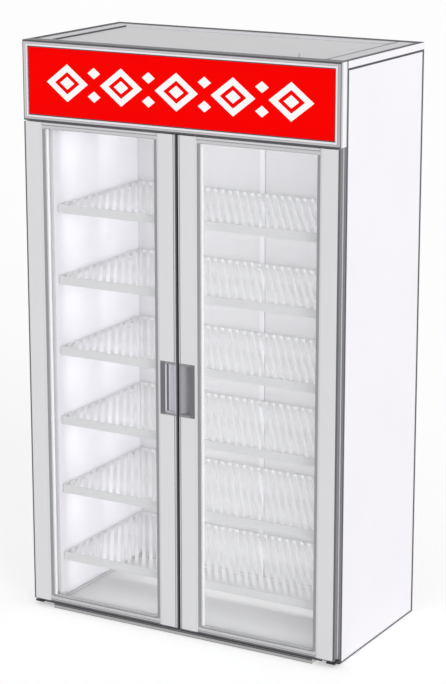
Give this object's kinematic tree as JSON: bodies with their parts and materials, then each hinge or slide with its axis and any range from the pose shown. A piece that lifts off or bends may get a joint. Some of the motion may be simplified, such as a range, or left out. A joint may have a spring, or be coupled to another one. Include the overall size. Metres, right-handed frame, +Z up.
{
  "type": "floor-standing heated display case",
  "caption": "Tall white heated display cabinet with framed glass double doors, diagonal-slatted shelves over a floor tray and a lit sign box in front of its blower and heater.",
  "frame": {"origin": "on the floor, at the middle of the cabinet's width and depth", "axes": "+Z up, -Y out of the front with the doors, +X to the right seen from the front"},
  "size_m": [1.22, 0.615, 2.057],
  "materials": {
    "white_paint": "smooth white baked paint",
    "pale_paint": "smooth off-white baked paint",
    "grey_paint": "smooth light grey baked paint",
    "shelf_grey": "light grey coated sheet",
    "anodised": "satin clear anodised extrusion",
    "galvanised": "dull galvanised sheet",
    "dark_steel": "black oxide steel",
    "black_rubber": "matte extruded seal",
    "grey_rubber": "matte extruded seal",
    "grey_plastic": "satin moulded",
    "black_plastic": "satin moulded",
    "red_panel": "smooth acrylic sheet",
    "clear_glass": "clear float glass",
    "spacer_white": "bright painted spacer bar",
    "lamp_glass": "frosted tube",
    "heater_sheath": "oxidised metal sheath"
  },
  "bodies": {
    "cabinet": {"left_side_panel": "white_paint", "right_side_panel": "white_paint", "left_liner": "white_paint", "right_liner": "white_paint", "centre_pilaster": "white_paint", "sign_trim": "white_paint", "sign_reflector": "white_paint", "sign_box": "white_paint", "roof_cap": "white_paint", "roof_panel": "white_paint", "back_panel": "pale_paint", "back_liner": "pale_paint", "ceiling_panel": "pale_paint", "control_tray": "pale_paint", "base_deck": "grey_paint", "floor_tray": "grey_paint", "shelf_1": "shelf_grey", "shelf_2": "shelf_grey", "shelf_3": "shelf_grey", "shelf_4": "shelf_grey", "shelf_5": "shelf_grey", "shelf_6": "shelf_grey", "left_top_pivot": "dark_steel", "right_top_pivot": "dark_steel", "left_bottom_bracket": "dark_steel", "right_bottom_bracket": "dark_steel", "blower_motor": "dark_steel", "thermostat_body": "black_plastic", "sign_panel": "red_panel", "sign_lamp": "lamp_glass", "blower_housing": "galvanised", "heater_duct": "galvanised", "heater_element": "heater_sheath", "roof_gland": "grey_plastic"},
    "left_door": {"left_hinge_stile": "anodised", "left_pull_stile": "anodised", "left_top_rail": "anodised", "left_bottom_rail": "anodised", "left_front_pane": "clear_glass", "left_rear_pane": "clear_glass", "left_pane_spacer": "spacer_white", "left_glazing_gasket": "grey_rubber", "left_door_gasket": "black_rubber", "left_pull": "grey_plastic", "left_meeting_seal": "black_rubber"},
    "right_door": {"right_hinge_stile": "anodised", "right_pull_stile": "anodised", "right_top_rail": "anodised", "right_bottom_rail": "anodised", "right_front_pane": "clear_glass", "right_rear_pane": "clear_glass", "right_pane_spacer": "spacer_white", "right_glazing_gasket": "grey_rubber", "right_door_gasket": "black_rubber", "right_pull": "grey_plastic", "right_meeting_seal": "black_rubber"},
    "impeller": {"blower_impeller": "galvanised"},
    "knob": {"thermostat_knob": "black_plastic"},
    "power_switch": {"power_rocker": "black_plastic"},
    "lamp_switch": {"lamp_rocker": "black_plastic"}
  },
  "joints": [
    {"name": "left_door_hinge", "type": "hinge", "parent": "cabinet", "child": "left_door", "pos_m": [-0.588, -0.2895, 0.023], "axis": [0, 0, -1], "range_deg": [0, 110]},
    {"name": "right_door_hinge", "type": "hinge", "parent": "cabinet", "child": "right_door", "pos_m": [0.588, -0.2895, 0.023], "axis": [0, 0, 1], "range_deg": [0, 110]},
    {"name": "impeller_spin", "type": "hinge", "parent": "cabinet", "child": "impeller", "pos_m": [-0.098, -0.1025, 1.759], "axis": [0, 0, 1], "continuous": true},
    {"name": "thermostat_turn", "type": "hinge", "parent": "cabinet", "child": "knob", "pos_m": [0.458, 0.2715, 1.893], "axis": [0, -1, 0], "range_deg": [0, 300]},
    {"name": "power_rock", "type": "hinge", "parent": "cabinet", "child": "power_switch", "pos_m": [0.36, 0.2715, 1.91], "axis": [1, 0, 0], "range_deg": [-16, 0]},
    {"name": "lamp_rock", "type": "hinge", "parent": "cabinet", "child": "lamp_switch", "pos_m": [0.36, 0.2715, 1.876], "axis": [1, 0, 0], "range_deg": [-16, 0]}
  ]
}
